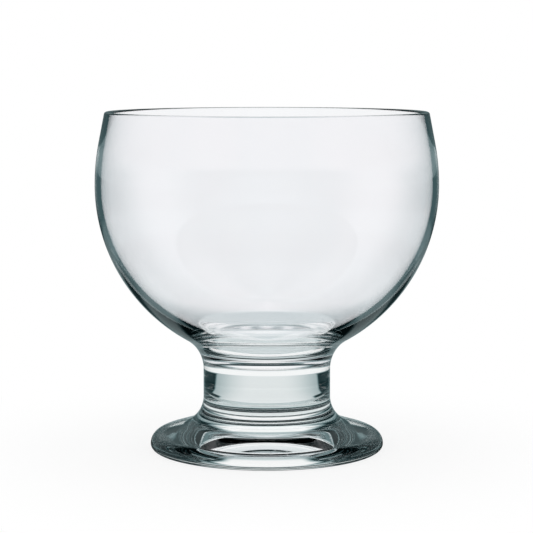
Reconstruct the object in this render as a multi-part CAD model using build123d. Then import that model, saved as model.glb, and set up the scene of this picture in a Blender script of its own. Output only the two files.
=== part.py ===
from build123d import *
from math import acos, asin, atan2, cos, degrees, hypot, pi, radians, sin, sqrt, tan
import os

# A footed dessert glass for a layered parfait: a wide round bowl that draws in
# to its rim, a short thick stem and a heavy round foot. The three pieces are
# made hot one after the other and fused face to face, so each is a solid of
# revolution about +Z and the outer surface runs on from one to the next.
# Millimetres and degrees. The origin is the centre of the base, on the table.

# Bowl, outside: below its widest place it is nearly a ball, whose centre lies
# a little past the axis, and above it a longer round eases into a straight side
bowl_diameter = 110.0
lower_centre_overhang = 1.8
upper_round = 70.5
side_lean = 11.1
rim_above_belly = 23.5

# Bowl, inside: the wall thickens from the belly down to the floor, and above the
# belly the inside leans in a little less than the outside
wall_at_belly = 1.95
wall_ease = 1.4
cavity_floor_round = 75.0
floor_thickness = 5.08

# Stem, and where the fused seams lie from the ends of its straight part
stem_diameter = 41.0
stem_length = 8.9
neck_round = 11.4
flare_round = 9.7
bowl_joint_rise = 2.5
foot_joint_drop = 5.1

# Foot
foot_diameter = 75.4
foot_slope = 17.5
edge_round = 3.9
base_round = 1.7
bearing_width = 2.6
kick_height = 1.3

# Directions in an outline, as angles from the outward level
straight_up = degrees(pi / 2)
towards_axis = 2 * straight_up
straight_down = 3 * straight_up

bowl_radius = bowl_diameter / 2
lower_round = bowl_radius + lower_centre_overhang
stem_radius = stem_diameter / 2
foot_radius = foot_diameter / 2


def on_arc(centre, radius, angle):
    """A point of a round stretch, by its angle from the outward level."""
    turn = radians(angle)
    return (centre[0] + radius * cos(turn), centre[1] + radius * sin(turn))


def arc(centre, radius, start, end):
    """A round stretch of an outline, between two angles."""
    return CenterArc(centre, radius, start, end - start)


def turned(outline):
    """The solid that a closed outline sweeps about the upright axis."""
    return revolve(Plane.XZ * make_face(outline), axis=Axis.Z)


# The hollow curve between the foot's straight slope and the stem touches both
foot_edge_centre = (foot_radius - edge_round, base_round)
slope_end = on_arc(foot_edge_centre, edge_round, straight_up - foot_slope)
flare_reach = stem_radius + flare_round - slope_end[0]
flare_rise = (flare_round - flare_reach * sin(radians(foot_slope))) / cos(radians(foot_slope))
flare_centre = (stem_radius + flare_round, slope_end[1] + flare_rise)
slope_start = on_arc(flare_centre, flare_round, straight_down - foot_slope)

# The hollow curve between the stem and the bowl touches the bowl's lower round
neck_centre = (stem_radius + neck_round, flare_centre[1] + stem_length)
neck_reach = neck_centre[0] + lower_centre_overhang
bowl_rise = sqrt((lower_round + neck_round) ** 2 - neck_reach**2)
neck_angle = degrees(atan2(bowl_rise, neck_reach))
belly_height = neck_centre[1] + bowl_rise
glass_height = belly_height + rim_above_belly

# The seams are level cuts through the two hollow curves
bowl_joint_height = neck_centre[1] + bowl_joint_rise
foot_joint_height = flare_centre[1] - foot_joint_drop
bowl_joint_angle = towards_axis - degrees(asin(bowl_joint_rise / neck_round))
foot_joint_angle = towards_axis + degrees(asin(foot_joint_drop / flare_round))
bowl_joint_edge = on_arc(neck_centre, neck_round, bowl_joint_angle)
foot_joint_edge = on_arc(flare_centre, flare_round, foot_joint_angle)


def rim(outer_start, inner_start):
    """The melted edge: half a round that runs from the outer side to the inner.

    It gives the round's outer end, top and inner end.
    """
    outer_slope = tan(radians(side_lean))
    inner_slope = tan(radians(side_lean - wall_ease))

    def outer_x(height):
        return outer_start[0] - (height - outer_start[1]) * outer_slope

    def inner_x(height):
        return inner_start[0] - (height - inner_start[1]) * inner_slope

    half_wall = (outer_x(glass_height) - inner_x(glass_height)) * cos(radians(side_lean)) / 2
    tilt = half_wall * sin(radians(side_lean))
    outer_level = glass_height - half_wall + tilt
    inner_level = glass_height - half_wall - tilt
    outer_end = (outer_x(outer_level), outer_level)
    inner_end = (inner_x(inner_level), inner_level)
    middle = ((outer_end[0] + inner_end[0]) / 2, (outer_end[1] + inner_end[1]) / 2)
    bulge = hypot(outer_end[0] - inner_end[0], outer_end[1] - inner_end[1]) / 2
    top = on_arc(middle, bulge, straight_up + side_lean)
    return outer_end, top, inner_end


def bowl():
    """The round bowl: a thin wall that thickens down to its floor."""
    inner_belly = bowl_radius - wall_at_belly

    # The floor's thickness is measured up from the lowest point of the outer ball
    ball_depth = sqrt(lower_round**2 - lower_centre_overhang**2)
    floor_level = belly_height - ball_depth + floor_thickness
    floor_centre = (0, floor_level + cavity_floor_round)
    floor_above_belly = floor_centre[1] - belly_height

    # The cavity's side is the round that touches both the belly and the floor
    spare = cavity_floor_round**2 - inner_belly**2 - floor_above_belly**2
    cavity_round = spare / (2 * (cavity_floor_round - inner_belly))
    cavity_centre = (inner_belly - cavity_round, belly_height)
    floor_angle = -degrees(atan2(floor_above_belly, cavity_centre[0]))

    outer_lower = (bowl_radius - lower_round, belly_height)
    outer_upper = (bowl_radius - upper_round, belly_height)
    inner_upper = (inner_belly - upper_round, belly_height)
    inner_lean = side_lean - wall_ease
    outer_side = on_arc(outer_upper, upper_round, side_lean)
    inner_side = on_arc(inner_upper, upper_round, inner_lean)
    outer_end, rim_top, inner_end = rim(outer_side, inner_side)
    outline = [
        Line((0, bowl_joint_height), bowl_joint_edge),
        arc(neck_centre, neck_round, bowl_joint_angle, towards_axis - neck_angle),
        arc(outer_lower, lower_round, -neck_angle, 0),
        arc(outer_upper, upper_round, 0, side_lean),
        Line(outer_side, outer_end),
        ThreePointArc(outer_end, rim_top, inner_end),
        Line(inner_end, inner_side),
        arc(inner_upper, upper_round, inner_lean, 0),
        arc(cavity_centre, cavity_round, 0, floor_angle),
        arc(floor_centre, cavity_floor_round, floor_angle, -straight_up),
        Line((0, floor_level), (0, bowl_joint_height)),
    ]
    return turned(outline)


def stem():
    """The solid stem, hollow-curved into the bowl above and the foot below."""
    outline = [
        Line((0, foot_joint_height), foot_joint_edge),
        arc(flare_centre, flare_round, foot_joint_angle, towards_axis),
        Line((stem_radius, flare_centre[1]), (stem_radius, neck_centre[1])),
        arc(neck_centre, neck_round, towards_axis, bowl_joint_angle),
        Line(bowl_joint_edge, (0, bowl_joint_height)),
        Line((0, bowl_joint_height), (0, foot_joint_height)),
    ]
    return turned(outline)


def foot():
    """The heavy foot: a sloping top, a round edge and a bearing ring round a
    shallow hollow that keeps the middle of the base off the table."""
    base_centre = (foot_radius - base_round, base_round)
    hollow_radius = base_centre[0] - bearing_width
    hollow_round = (hollow_radius**2 + kick_height**2) / (2 * kick_height)
    hollow_centre = (0, kick_height - hollow_round)
    hollow_angle = degrees(acos(hollow_radius / hollow_round))
    outline = [
        Line((0, kick_height), (0, foot_joint_height)),
        Line((0, foot_joint_height), foot_joint_edge),
        arc(flare_centre, flare_round, foot_joint_angle, straight_down - foot_slope),
        Line(slope_start, slope_end),
        arc(foot_edge_centre, edge_round, straight_up - foot_slope, 0),
        arc(base_centre, base_round, 0, -straight_up),
        Line((base_centre[0], 0), (hollow_radius, 0)),
        arc(hollow_centre, hollow_round, hollow_angle, straight_up),
    ]
    return turned(outline)


os.makedirs("parts", exist_ok=True)
for name, make in (("bowl", bowl), ("stem", stem), ("foot", foot)):
    export_step(make(), f"parts/{name}.step")
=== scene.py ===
from math import acos, asin, atan2, cos, degrees, pi, radians, sin, sqrt, tan

import bmesh
import bpy
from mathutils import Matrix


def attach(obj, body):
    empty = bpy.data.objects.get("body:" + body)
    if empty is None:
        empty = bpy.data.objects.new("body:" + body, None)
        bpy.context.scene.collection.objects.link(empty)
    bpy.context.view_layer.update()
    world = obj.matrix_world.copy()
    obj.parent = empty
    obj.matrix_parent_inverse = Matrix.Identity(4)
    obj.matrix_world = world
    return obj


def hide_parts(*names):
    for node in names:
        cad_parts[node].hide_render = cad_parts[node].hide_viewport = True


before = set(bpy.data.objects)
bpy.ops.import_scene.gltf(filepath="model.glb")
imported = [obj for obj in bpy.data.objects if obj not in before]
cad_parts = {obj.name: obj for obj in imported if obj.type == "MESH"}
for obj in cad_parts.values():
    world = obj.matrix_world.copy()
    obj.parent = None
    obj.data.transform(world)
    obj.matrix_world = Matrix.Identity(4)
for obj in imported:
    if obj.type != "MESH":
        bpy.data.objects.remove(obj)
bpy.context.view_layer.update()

# A footed dessert glass: a round bowl, a short thick stem and a heavy foot, all
# of clear glass and fused hot. Metres and degrees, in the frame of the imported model.

scene = bpy.context.scene
mm = 0.001

# Bowl
bowl_radius = 55.0 * mm
lower_centre_overhang = 1.8 * mm
upper_round = 70.5 * mm
side_lean = 11.1
rim_above_belly = 23.5 * mm
wall_at_belly = 1.95 * mm
wall_ease = 1.4
cavity_floor_round = 75.0 * mm
floor_thickness = 5.08 * mm

# Stem
stem_radius = 20.5 * mm
stem_length = 8.9 * mm
neck_round = 11.4 * mm
flare_round = 9.7 * mm
bowl_joint_rise = 2.5 * mm
foot_joint_drop = 5.1 * mm

# Foot
foot_radius = 37.7 * mm
foot_slope = 17.5
edge_round = 3.9 * mm
base_round = 1.7 * mm
bearing_width = 2.6 * mm
kick_height = 1.3 * mm

# How finely the pieces are turned: steps round the axis and across the foot's
# hollow, and the part of a round stretch that one step takes
turn_steps = 256
hollow_steps = 12
fewest_steps = 2
round_step = 1.5
foot_edge_step = 3.75
small_round_step = 7.5

# The film of air that is left in each fused seam, and where points become one
seam_gap = 0.002 * mm
merge_distance = 0.0001 * mm

# Glass: how it bends light, the tints of its pieces and of the light in its shadow
glass_bend = 1.52
clear = (1.0, 1.0, 1.0, 1.0)
pale_green = (0.985, 0.996, 0.994, 1.0)
pale_teal = (0.955, 0.992, 0.992, 1.0)
pale_violet = (0.990, 0.987, 1.0, 1.0)
pale_blue = (0.980, 0.985, 0.998, 1.0)
shadow_tint = (0.985, 0.99, 0.99, 1.0)

# Marks in the glass: patches to a metre, how they are drawn out along each axis,
# and where a soft edge between their bare and full parts starts and ends
even = (1.0, 1.0, 1.0)
flow_depth = 0.005 * mm
flow_scale = 90.0
flow_stretch = (1.0, 1.0, 0.12)
peel_scale = 260.0
peel_share = 0.25
cloud_scale = 35.0
cloud_stretch = (1.0, 1.0, 0.5)
cloud_edge = (0.3, 0.7)
hair_scale = 700.0
hair_stretch = (0.5, 0.5, 12.0)
hair_edge = (0.66, 0.74)
grit_scale = 2500.0
grit_ramp = (0.25, 0.75, 0.4, 1.0)
fine_detail = 3.0

# The ground bearing ring: the heights between which its dull finish fades out
ground_ramp = (0.05 * mm, 0.25 * mm, 0.35, 0.0)

# Directions in an outline, as angles from the outward level
straight_up = 90.0
towards_axis = 180.0
straight_down = 270.0


def on_arc(centre, radius, angle):
    """A point of a round stretch, by its angle from the outward level."""
    turn = radians(angle)
    return (centre[0] + radius * cos(turn), centre[1] + radius * sin(turn))


# The same tangent rounds as in the model's outline
lower_round = bowl_radius + lower_centre_overhang
foot_edge_centre = (foot_radius - edge_round, base_round)
slope_end = on_arc(foot_edge_centre, edge_round, straight_up - foot_slope)
flare_reach = stem_radius + flare_round - slope_end[0]
flare_rise = (flare_round - flare_reach * sin(radians(foot_slope))) / cos(radians(foot_slope))
flare_centre = (stem_radius + flare_round, slope_end[1] + flare_rise)
neck_centre = (stem_radius + neck_round, flare_centre[1] + stem_length)
neck_reach = neck_centre[0] + lower_centre_overhang
bowl_rise = sqrt((lower_round + neck_round) ** 2 - neck_reach**2)
neck_angle = degrees(atan2(bowl_rise, neck_reach))
belly_height = neck_centre[1] + bowl_rise
glass_height = belly_height + rim_above_belly
bowl_joint_height = neck_centre[1] + bowl_joint_rise
foot_joint_height = flare_centre[1] - foot_joint_drop
bowl_joint_angle = towards_axis - degrees(asin(bowl_joint_rise / neck_round))
foot_joint_angle = towards_axis + degrees(asin(foot_joint_drop / flare_round))
inner_belly = bowl_radius - wall_at_belly
inner_lean = side_lean - wall_ease
outer_upper = (bowl_radius - upper_round, belly_height)
inner_upper = (inner_belly - upper_round, belly_height)
outer_side = on_arc(outer_upper, upper_round, side_lean)
inner_side = on_arc(inner_upper, upper_round, inner_lean)


class Outline:
    """The edge of a half section, drawn from the axis out and back to it."""

    def __init__(self, height):
        self.mesh = bmesh.new()
        self.tip = self.mesh.verts.new((0.0, 0.0, height))

    def line(self, x, z):
        """Draws a straight stretch to a point."""
        self.tip = bmesh.ops.extrude_vert_indiv(self.mesh, verts=[self.tip])["verts"][0]
        self.tip.co = (x, 0.0, z)

    def round(self, centre, turn, step=round_step):
        """Draws a round stretch about a centre, anticlockwise if the turn is positive."""
        made = bmesh.ops.spin(
            self.mesh, geom=[self.tip], cent=(centre[0], 0.0, centre[1]), axis=(0.0, 1.0, 0.0),
            angle=-radians(turn), steps=max(fewest_steps, round(abs(turn) / step)),
            use_merge=False,
        )
        ends = made["geom_last"]
        self.tip = next(part for part in ends if isinstance(part, bmesh.types.BMVert))

    def turned(self):
        """Sweeps the outline round the axis into a closed mesh."""
        mesh = self.mesh
        bmesh.ops.spin(
            mesh, geom=mesh.verts[:] + mesh.edges[:], cent=(0.0, 0.0, 0.0), axis=(0.0, 0.0, 1.0),
            angle=2 * pi, steps=turn_steps, use_merge=True,
        )
        bmesh.ops.remove_doubles(mesh, verts=mesh.verts, dist=merge_distance)
        bmesh.ops.recalc_face_normals(mesh, faces=mesh.faces)
        return mesh


def rim_round():
    """The outer end of the melted rim's half round, and its centre."""

    def outer_x(height):
        return outer_side[0] - (height - outer_side[1]) * tan(radians(side_lean))

    def inner_x(height):
        return inner_side[0] - (height - inner_side[1]) * tan(radians(inner_lean))

    half_wall = (outer_x(glass_height) - inner_x(glass_height)) * cos(radians(side_lean)) / 2
    tilt = half_wall * sin(radians(side_lean))
    outer_level = glass_height - half_wall + tilt
    inner_level = glass_height - half_wall - tilt
    outer_end = (outer_x(outer_level), outer_level)
    inner_end = (inner_x(inner_level), inner_level)
    centre = ((outer_end[0] + inner_end[0]) / 2, (outer_end[1] + inner_end[1]) / 2)
    return outer_end, centre


def bowl_mesh():
    """The blown bowl, from the seam under it out, up, over the rim and down inside."""
    ball_depth = sqrt(lower_round**2 - lower_centre_overhang**2)
    floor_level = belly_height - ball_depth + floor_thickness
    floor_above_belly = floor_level + cavity_floor_round - belly_height
    spare = cavity_floor_round**2 - inner_belly**2 - floor_above_belly**2
    cavity_round = spare / (2 * (cavity_floor_round - inner_belly))
    cavity_centre = (inner_belly - cavity_round, belly_height)
    floor_angle = degrees(atan2(floor_above_belly, cavity_centre[0]))
    rim_start, rim_centre = rim_round()
    seam_level = bowl_joint_height + seam_gap

    outline = Outline(seam_level)
    outline.line(on_arc(neck_centre, neck_round, bowl_joint_angle)[0], seam_level)
    outline.round(neck_centre, towards_axis - neck_angle - bowl_joint_angle)
    outline.round((bowl_radius - lower_round, belly_height), neck_angle)
    outline.round(outer_upper, side_lean)
    outline.line(*rim_start)
    outline.round(rim_centre, towards_axis, small_round_step)
    outline.line(*inner_side)
    outline.round(inner_upper, -inner_lean)
    outline.round(cavity_centre, -floor_angle)
    outline.round((0.0, floor_level + cavity_floor_round), floor_angle - straight_up)
    outline.tip.co.x = 0.0
    return outline.turned()


def stem_mesh():
    """The solid stem, from its lower seam out, up its hollow curves and back in."""
    lower_level = foot_joint_height + seam_gap
    upper_level = bowl_joint_height - seam_gap
    outline = Outline(lower_level)
    outline.line(on_arc(flare_centre, flare_round, foot_joint_angle)[0], lower_level)
    outline.round(flare_centre, towards_axis - foot_joint_angle)
    outline.line(stem_radius, neck_centre[1])
    outline.round(neck_centre, bowl_joint_angle - towards_axis)
    outline.tip.co.z = upper_level
    outline.line(0.0, upper_level)
    return outline.turned()


def foot_mesh():
    """The pressed foot, from the hollow under it out, round its edge and up to the seam."""
    base_centre = (foot_radius - base_round, base_round)
    hollow_radius = base_centre[0] - bearing_width
    hollow_round = (hollow_radius**2 + kick_height**2) / (2 * kick_height)
    hollow_turn = straight_up - degrees(acos(hollow_radius / hollow_round))
    seam_level = foot_joint_height - seam_gap
    outline = Outline(kick_height)
    outline.round((0.0, kick_height - hollow_round), -hollow_turn, hollow_turn / hollow_steps)
    outline.line(base_centre[0], 0.0)
    outline.round(base_centre, straight_up, small_round_step)
    outline.round(foot_edge_centre, straight_up - foot_slope, foot_edge_step)
    outline.line(*on_arc(flare_centre, flare_round, straight_down - foot_slope))
    outline.round(flare_centre, foot_joint_angle - straight_down + foot_slope)
    outline.tip.co.z = seam_level
    outline.line(0.0, seam_level)
    return outline.turned()


def piece(name, mesh, seams, glass, seam_glass):
    """A finished piece of glass, with its level seam faces in their own material."""
    for face in mesh.faces:
        middle = face.calc_center_median()
        in_seam = any(abs(middle.z - height) < 2 * seam_gap for height in seams)
        face.smooth = not in_seam
        face.material_index = int(in_seam)
    data = bpy.data.meshes.new(name)
    mesh.to_mesh(data)
    mesh.free()
    data.materials.append(glass)
    data.materials.append(seam_glass)
    made = bpy.data.objects.new(name, data)
    scene.collection.objects.link(made)
    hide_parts(name)
    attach(made, "root")


# Where a Mix node has its sockets for colours, after those for other kinds
mix_colours_in = (6, 7)
mix_colour_out = 2


class Shading:
    """A node tree, with short ways to add and join its nodes."""

    def __init__(self, tree):
        self.tree = tree
        tree.nodes.clear()

    def node(self, kind, **settings):
        """Adds a node and sets its own settings."""
        made = self.tree.nodes.new(kind)
        for setting, value in settings.items():
            setattr(made, setting, value)
        return made

    def feed(self, socket, source):
        """Joins a socket to another node's output, or sets its value."""
        if isinstance(source, bpy.types.NodeSocket):
            self.tree.links.new(source, socket)
        else:
            socket.default_value = source

    def made_of(self, made, *sources):
        """Feeds a node's sockets in their order, and gives its first output."""
        for socket, source in zip(made.inputs, sources):
            self.feed(socket, source)
        return made.outputs[0]

    def maths(self, operation, *terms):
        """The result of an operation on one or two numbers."""
        return self.made_of(self.node("ShaderNodeMath", operation=operation), *terms)

    def soft_step(self, value, low, high, at_low=0.0, at_high=1.0):
        """Eases from one value to the other as a number goes from low to high."""
        made = self.node("ShaderNodeMapRange", interpolation_type="SMOOTHSTEP")
        return self.made_of(made, value, low, high, at_low, at_high)

    def blend(self, factor, first, second):
        """A number between two numbers."""
        made = self.node("ShaderNodeMix", data_type="FLOAT")
        for label, source in (("Factor", factor), ("A", first), ("B", second)):
            self.feed(made.inputs[label], source)
        return made.outputs["Result"]

    def across(self, value, edge, before, after):
        """One number before a soft edge, and another after it."""
        return self.blend(self.soft_step(value, *edge), before, after)

    def blend_colour(self, factor, first, second):
        """A colour between two colours."""
        made = self.node("ShaderNodeMix", data_type="RGBA")
        self.feed(made.inputs["Factor"], factor)
        for place, source in zip(mix_colours_in, (first, second)):
            self.feed(made.inputs[place], source)
        return made.outputs[mix_colour_out]

    def blend_surface(self, factor, first, second):
        """A surface between two surfaces."""
        return self.made_of(self.node("ShaderNodeMixShader"), factor, first, second)

    def object_place(self):
        """Where a point lies on its object."""
        return self.node("ShaderNodeTexCoord").outputs["Object"]

    def parts(self, vector):
        """The x, y and z of a vector."""
        made = self.node("ShaderNodeSeparateXYZ")
        self.feed(made.inputs["Vector"], vector)
        return made.outputs

    def patches(self, place, stretch, scale, detail=2.0):
        """Soft noise between 0 and 1, with a pattern scale for each axis."""
        made = self.node("ShaderNodeMapping")
        self.feed(made.inputs["Vector"], place)
        made.inputs["Scale"].default_value = stretch
        noise = self.node("ShaderNodeTexNoise")
        self.feed(noise.inputs["Vector"], made.outputs["Vector"])
        noise.inputs["Scale"].default_value = scale
        noise.inputs["Detail"].default_value = detail
        return noise.outputs["Fac"]

    def surface(self, shown):
        """Ends a material's tree with its surface."""
        self.feed(self.node("ShaderNodeOutputMaterial").inputs["Surface"], shown)


def new_group(name, inputs, outputs):
    """An empty node group with named sockets: itself, its tree, inputs and outputs."""
    group = bpy.data.node_groups.new(name, "ShaderNodeTree")
    for direction, sockets in (("INPUT", inputs), ("OUTPUT", outputs)):
        for label, kind in sockets.items():
            group.interface.new_socket(
                name=label, in_out=direction, socket_type="NodeSocket" + kind
            )
    tree = Shading(group)
    given = tree.node("NodeGroupInput").outputs
    result = tree.node("NodeGroupOutput").inputs
    return group, tree, given, result


def new_material(name):
    """An empty material, with its tree."""
    material = bpy.data.materials.new(name)
    material.use_nodes = True
    return material, Shading(material.node_tree)


def glass_finish():
    """A node group for hot worked glass: uneven tint, flow marks, scratches and a worn base.

    The glass flowed along its axis, so its marks run upright. The scratches and
    the dull ring on the bearing face come from use.
    """
    inputs = {"Thin Tint": "Color", "Deep Tint": "Color", "Flow": "Float", "Wear": "Float"}
    outputs = {"Color": "Color", "Roughness": "Float", "Height": "Float"}
    group, tree, given, result = new_group("glass_finish", inputs, outputs)
    place = tree.object_place()

    # Upright flow marks, and a faint orange peel from the mould
    flow = tree.patches(place, flow_stretch, flow_scale)
    peel = tree.patches(place, even, peel_scale)
    marks = tree.blend(peel_share, flow, peel)
    tree.feed(result["Height"], tree.maths("MULTIPLY", marks, given["Flow"]))

    # The tint is a little deeper in cloudy patches
    cloud = tree.soft_step(tree.patches(place, cloud_stretch, cloud_scale), *cloud_edge)
    tint = tree.blend_colour(cloud, given["Thin Tint"], given["Deep Tint"])
    tree.feed(result["Color"], tint)

    # Hair scratches run round the piece, and the bearing ring is ground dull
    hairs = tree.patches(place, hair_stretch, hair_scale, fine_detail)
    scratches = tree.maths("MULTIPLY", tree.soft_step(hairs, *hair_edge), given["Wear"])
    ground = tree.soft_step(tree.parts(place)["Z"], *ground_ramp)
    grit = tree.soft_step(tree.patches(place, even, grit_scale, fine_detail), *grit_ramp)
    dull = tree.maths("MULTIPLY", ground, grit)
    tree.feed(result["Roughness"], tree.maths("MAXIMUM", scratches, dull))
    return group


finish_group = glass_finish()


def glass_material(name, thin, deep, flow, wear, opacity=1.0):
    """Clear glass with the shared finish, which lets light through into its shadow."""
    material, tree = new_material(name)
    finish = tree.node("ShaderNodeGroup", node_tree=finish_group)
    for label, value in (("Thin Tint", thin), ("Deep Tint", deep), ("Flow", flow), ("Wear", wear)):
        finish.inputs[label].default_value = value
    relief = tree.node("ShaderNodeBump")
    relief.inputs["Strength"].default_value = 1.0
    relief.inputs["Distance"].default_value = flow_depth
    tree.feed(relief.inputs["Height"], finish.outputs["Height"])
    glass = tree.node("ShaderNodeBsdfPrincipled")
    glass.inputs["Metallic"].default_value = 0.0
    glass.inputs["IOR"].default_value = glass_bend
    glass.inputs["Transmission Weight"].default_value = 1.0
    glass.inputs["Alpha"].default_value = opacity
    tree.feed(glass.inputs["Base Color"], finish.outputs["Color"])
    tree.feed(glass.inputs["Roughness"], finish.outputs["Roughness"])
    tree.feed(glass.inputs["Normal"], relief.outputs["Normal"])
    shadow = tree.node("ShaderNodeBsdfTransparent")
    shadow.inputs["Color"].default_value = shadow_tint
    in_shadow = tree.node("ShaderNodeLightPath").outputs["Is Shadow Ray"]
    tree.surface(tree.blend_surface(in_shadow, glass.outputs["BSDF"], shadow.outputs["BSDF"]))
    return material


bowl_glass = glass_material("bowl_glass", pale_violet, pale_blue, flow=0.5, wear=0.05)
stem_glass = glass_material("stem_glass", clear, pale_green, flow=1.0, wear=0.08)
foot_glass = glass_material("foot_glass", pale_green, pale_teal, flow=0.7, wear=0.12)

# A fused seam can't be seen, so its faces let everything through
seam_glass = glass_material("seam_glass", clear, clear, flow=0.0, wear=0.0, opacity=0.0)

piece("bowl", bowl_mesh(), [bowl_joint_height], bowl_glass, seam_glass)
piece("stem", stem_mesh(), [bowl_joint_height, foot_joint_height], stem_glass, seam_glass)
piece("foot", foot_mesh(), [foot_joint_height], foot_glass, seam_glass)

# Camera, at the photograph's viewing angle
camera_distance = 612.0 * mm
camera_height = 127.0 * mm
camera_side = -0.11 * mm
camera_dip = 6.34
camera_lens = 129.13
camera_sensor = 36.0
camera_level = 90.0
camera = bpy.data.cameras.new("camera")
camera.lens = camera_lens
camera.sensor_width = camera_sensor
camera_object = bpy.data.objects.new("camera", camera)
camera_object.location = (camera_side, -camera_distance, camera_height)
camera_object.rotation_euler = (radians(camera_level - camera_dip), 0.0, 0.0)
scene.collection.objects.link(camera_object)
scene.camera = camera_object

# Studio, in metres: a white world and floor, and two glowing cards out of the camera's
# sight, a dome and one on the table, whose painted light and shade, set by the way a
# ray came through the glass, draw the dark edges and bright parts of clear glass
white = (1.0, 1.0, 1.0, 1.0)
dome_radius = 2.0
floor_size = 3.0
floor_drop = 0.03 * mm
card_drop = 0.01 * mm
card_segments = 96

# The cards run from black at 0 to white at 1, and their darks are greener, as
# each colour of light is a power of the shade
dark_shade = 0.022
shade_powers = (1.3, 1.03, 1.0)

# Rays are told apart by how often they were turned back inside the glass, and by
# how many of its surfaces they crossed: more than three means through the bowl
any_turns = 0.5
wall_crossings = 3.5


def stage_piece(name, mesh, material, is_card):
    """The floor, or a studio card that only the glass sees."""
    data = bpy.data.meshes.new(name)
    mesh.to_mesh(data)
    mesh.free()
    data.materials.append(material)
    made = bpy.data.objects.new(name, data)
    scene.collection.objects.link(made)
    if is_card:
        made.visible_camera = False
        made.visible_diffuse = False
        made.visible_shadow = False


def reach_of(tree, parts):
    """How far a point of the stage lies from the glass's axis."""
    squares = [tree.maths("POWER", part, 2.0) for part in (parts["X"], parts["Y"])]
    return tree.maths("SQRT", tree.maths("ADD", *squares))


# In the next values a pair is a soft edge, where it starts and ends. In a ramp the
# next two are the shade, half width or softness at its start and at its end. Turns
# off the back and rises above the table are in degrees, and reaches in metres

# Through the bowl: a window on each side, and the front one dimmer
sideways = 90.0
half_between_windows = 45.0
window_ramp = (6.0, half_between_windows, 1.0, 0.35)
front_window_ramp = (100.0, 170.0, 1.0, 0.6)


def card_place():
    """A node group for where a point of a card lies, as seen from the glass.

    It gives the reach from the axis, the turn off the back and off the nearer
    side, the rise above the table, and the shade of the soft windows that are
    seen through the bowl.
    """
    outputs = ("Reach", "Off Back", "Off Side", "Rise", "Window")
    group, tree, _, result = new_group("card_place", {}, dict.fromkeys(outputs, "Float"))
    parts = tree.parts(tree.object_place())
    reach = reach_of(tree, parts)
    bearing = tree.maths("DEGREES", tree.maths("ARCTAN2", parts["X"], parts["Y"]))
    off_back = tree.maths("ABSOLUTE", bearing)
    off_window = tree.maths("PINGPONG", bearing, half_between_windows)
    off_side = tree.maths("ABSOLUTE", tree.maths("SUBTRACT", off_back, sideways))
    rise = tree.maths("DEGREES", tree.maths("ARCTAN2", parts["Z"], reach))
    window = tree.soft_step(off_window, *window_ramp)
    window = tree.maths("MULTIPLY", window, tree.soft_step(off_back, *front_window_ramp))
    for label, value in zip(outputs, (reach, off_back, off_side, rise, window)):
        tree.feed(result[label], value)
    return group


def card_tint():
    """A node group for a card's colour: the darker its shade, the greener it is."""
    group, tree, given, result = new_group("card_tint", {"Shade": "Float"}, {"Color": "Color"})
    powers = [tree.maths("POWER", given["Shade"], power) for power in shade_powers]
    tree.feed(result["Color"], tree.made_of(tree.node("ShaderNodeCombineColor"), *powers))
    return group


place_group = card_place()
tint_group = card_tint()


def card_material(name, shades):
    """A card whose shade depends on the way that a ray comes to it from the glass.

    It came as a reflection off the outside, straight out of the solid glass or
    one wall, out of the solid glass where it was turned back inside at least
    once, or through the bowl.
    """
    material, tree = new_material(name)
    place = tree.node("ShaderNodeGroup", node_tree=place_group).outputs
    reflected, straight, turned, through = shades(tree, place)
    paths = tree.node("ShaderNodeLightPath").outputs
    was_turned = tree.maths("GREATER_THAN", paths["Glossy Depth"], any_turns)
    solid = tree.blend(was_turned, straight, turned)
    crossed_bowl = tree.maths("GREATER_THAN", paths["Transmission Depth"], wall_crossings)
    seen_through = tree.blend(crossed_bowl, solid, through)
    shade = tree.blend(paths["Is Transmission Ray"], reflected, seen_through)
    colour = tree.made_of(tree.node("ShaderNodeGroup", node_tree=tint_group), shade)
    # The card glows with its painted light and shade
    tree.surface(tree.made_of(tree.node("ShaderNodeEmission"), colour))
    return material


# The dome: the edges of its window and how they widen, its roof and the top of
# that, and a glow low down. A ray that comes straight sees more glow and less
# roof, and a reflection only sees a gleam behind
dome_window_width_ramp = (8.0, 16.0, 20.0, 30.0)
dome_window_ramp = (-8.0, 8.0, 1.0, dark_shade)
roof_ramp = (80.0, 110.0, 0.55, 0.05)
roof_edge = (36.0, 46.0)
top_edge = (58.0, 70.0)
top_shade = 0.05
low_glow_ramp = (6.0, 12.0, 0.32, 0.0)
horizon_glow_ramp = (2.0, 4.0, 0.98, 0.0)
straight_roof_edge = (18.0, 22.0)
straight_roof_shade = 0.03
dome_gleam_ramp = (6.0, 20.0, 0.18, 0.38)
dome_gleam_edge = (20.0, 42.0)
past_dome_gleam = 0.03


def dome_shades(tree, place):
    """The dome: a bright window behind, dark sides and a dim roof that is darker in front."""
    rise, off_back = place["Rise"], place["Off Back"]
    edge = tree.soft_step(rise, *dome_window_width_ramp)
    past_edge = tree.maths("SUBTRACT", off_back, edge)
    window = tree.soft_step(past_edge, *dome_window_ramp)
    roof = tree.soft_step(off_back, *roof_ramp)
    roof = tree.across(rise, top_edge, roof, top_shade)
    turned = tree.across(rise, roof_edge, window, roof)
    turned = tree.maths("MAXIMUM", turned, tree.soft_step(rise, *low_glow_ramp))

    straight = tree.maths("MAXIMUM", turned, tree.soft_step(rise, *horizon_glow_ramp))
    straight = tree.across(rise, straight_roof_edge, straight, straight_roof_shade)

    gleam = tree.soft_step(rise, *dome_gleam_ramp)
    reflected = tree.across(off_back, dome_gleam_edge, gleam, past_dome_gleam)
    return reflected, straight, turned, place["Window"]


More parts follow.
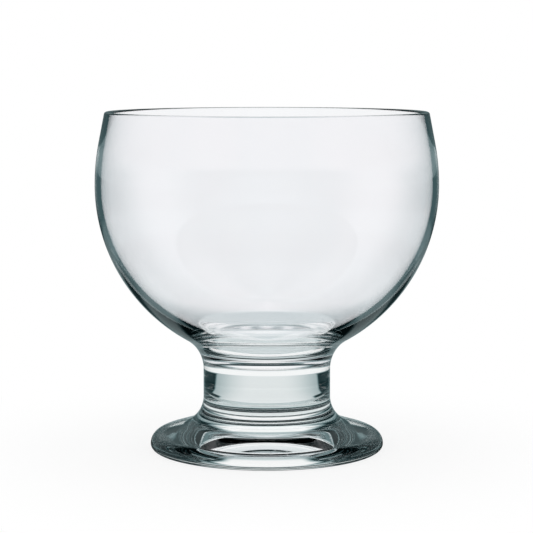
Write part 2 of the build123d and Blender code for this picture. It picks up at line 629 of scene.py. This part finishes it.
# The card on the table: rings under the foot and under the bowl, a lit fan behind
# whose edges draw in further out, and pools in front and at the sides
under_foot_edge = (0.022, 0.028)
under_foot_shade = 0.72
under_bowl_edge = (0.055, 0.065)
fan_width_ramp = (0.14, 0.40, 35.0, 13.0)
fan_width_under_bowl = 22.0
fan_softness_ramp = (0.14, 0.40, 2.0, 6.0)
fan_ramp = (6.0, 36.0, 0.84, 0.50)
front_pool_edge = (130.0, 150.0)
front_pool_ramp = (0.10, 0.16, 0.12, 0.40)
side_pool_ramp = (20.0, 28.0, 0.35, dark_shade)
side_pool_near_edge = (0.060, 0.070)
side_pool_end_ramp = (0.13, 0.16, 1.0, 0.0)

# What a ray sees that comes straight, that was turned back inside, and that went
# through the bowl
straight_glow_ramp = (0.15, 0.20, 0.0, 0.98)
murk_ramp = (0.14, 0.35, 0.20, 0.11)
turned_under_bowl_shade = 0.010
near_ramp = (0.09, 0.16, 0.70, 1.0)
near_edge = (20.0, 40.0)
windows_edge = (0.5, 1.0)

# What a reflection sees: a gleam with a dark ring in it, and more of it behind
ring_inner_edge = (0.10, 0.14)
ring_outer_edge = (0.19, 0.24)
ring_shade = 0.05
gleam_before_ring = 0.40
gleam_ramp = (0.38, 0.50, 0.30, 0.08)
back_gleam_ramp = (0.38, 0.50, 0.40, 0.08)
back_gleam_edge = (20.0, 27.0)
gleam_under_bowl = 0.015


def table_shades(tree, place):
    """The card on the table: bright behind, pools at the sides and in front, dark between."""
    reach, off_back = place["Reach"], place["Off Back"]
    edge = tree.soft_step(reach, *fan_width_ramp)
    edge = tree.across(reach, under_bowl_edge, fan_width_under_bowl, edge)
    past_edge = tree.maths("SUBTRACT", off_back, edge)
    past_edge = tree.maths("DIVIDE", past_edge, tree.soft_step(reach, *fan_softness_ramp))
    past_edge = tree.soft_step(past_edge, -1.0, 1.0)
    fan = tree.soft_step(off_back, *fan_ramp)
    front_light = tree.soft_step(reach, *front_pool_ramp)
    front_pool = tree.soft_step(off_back, *front_pool_edge, dark_shade, front_light)
    side_start = tree.soft_step(reach, *side_pool_near_edge)
    side_end = tree.soft_step(reach, *side_pool_end_ramp)
    side_pool = tree.soft_step(place["Off Side"], *side_pool_ramp)
    side_pool = tree.maths("MULTIPLY", side_pool, tree.maths("MULTIPLY", side_start, side_end))
    pools = tree.maths("MAXIMUM", front_pool, side_pool)

    straight = tree.maths("MAXIMUM", tree.blend(past_edge, fan, dark_shade), pools)
    straight = tree.across(reach, under_foot_edge, under_foot_shade, straight)
    straight = tree.maths("MAXIMUM", straight, tree.soft_step(reach, *straight_glow_ramp))

    murk = tree.soft_step(reach, *murk_ramp)
    turned = tree.maths("MAXIMUM", tree.blend(past_edge, fan, murk), pools)
    turned = tree.across(reach, under_bowl_edge, turned_under_bowl_shade, turned)
    turned = tree.across(reach, under_foot_edge, under_foot_shade, turned)

    near = tree.across(off_back, near_edge, tree.soft_step(reach, *near_ramp), 1.0)
    through = tree.across(reach, windows_edge, near, place["Window"])

    gleam = tree.soft_step(reach, *gleam_ramp)
    gleam = tree.across(reach, ring_outer_edge, ring_shade, gleam)
    gleam = tree.across(reach, ring_inner_edge, gleam_before_ring, gleam)
    back_gleam = tree.soft_step(reach, *back_gleam_ramp)
    reflected = tree.across(off_back, back_gleam_edge, back_gleam, gleam)
    reflected = tree.across(reach, under_bowl_edge, gleam_under_bowl, reflected)
    return reflected, straight, turned, through


dome = bmesh.new()
bmesh.ops.create_uvsphere(
    dome, u_segments=card_segments, v_segments=card_segments // 2, radius=dome_radius
)
bmesh.ops.bisect_plane(
    dome, geom=dome.verts[:] + dome.edges[:] + dome.faces[:], dist=merge_distance,
    plane_co=(0.0, 0.0, 0.0), plane_no=(0.0, 0.0, 1.0), clear_inner=True,
)
stage_piece("dome_card", dome, card_material("dome_card", dome_shades), is_card=True)

table_card = bmesh.new()
bmesh.ops.create_circle(table_card, cap_ends=True, segments=card_segments, radius=dome_radius)
bmesh.ops.translate(table_card, verts=table_card.verts[:], vec=(0.0, 0.0, -card_drop))
stage_piece("table_card", table_card, card_material("table_card", table_shades), is_card=True)

# The floor glows, and is partly matt near the glass, so that it stays white and
# still takes a faint shadow round the foot
floor_colour = (0.985, 0.985, 0.985, 1.0)
floor_glow_ramp = (0.05, 0.13, 0.8, 1.0)


def floor_white():
    """The white floor: a glow, with some matt paint showing near the glass."""
    material, tree = new_material("floor_white")
    matt = tree.made_of(tree.node("ShaderNodeBsdfDiffuse"), floor_colour)
    reach = reach_of(tree, tree.parts(tree.object_place()))
    glow = tree.made_of(tree.node("ShaderNodeEmission"), white)
    tree.surface(tree.blend_surface(tree.soft_step(reach, *floor_glow_ramp), matt, glow))
    return material


floor = bmesh.new()
bmesh.ops.create_grid(floor, x_segments=1, y_segments=1, size=floor_size)
bmesh.ops.translate(floor, verts=floor.verts[:], vec=(0.0, 0.0, -floor_drop))
stage_piece("floor", floor, floor_white(), is_card=False)

world = bpy.data.worlds.new("studio")
scene.world = world
world.use_nodes = True
world.node_tree.nodes["Background"].inputs["Color"].default_value = white
world.node_tree.nodes["Background"].inputs["Strength"].default_value = 1.0

# Light goes on through all the walls, but is turned back inside the glass no more
# than a few times, as more turns only add grain
most_crossings = 24
most_turns = 8
scene.view_settings.view_transform = "Standard"
scene.cycles.max_bounces = most_crossings
scene.cycles.transmission_bounces = most_crossings
scene.cycles.glossy_bounces = most_turns
scene.cycles.transparent_max_bounces = most_crossings
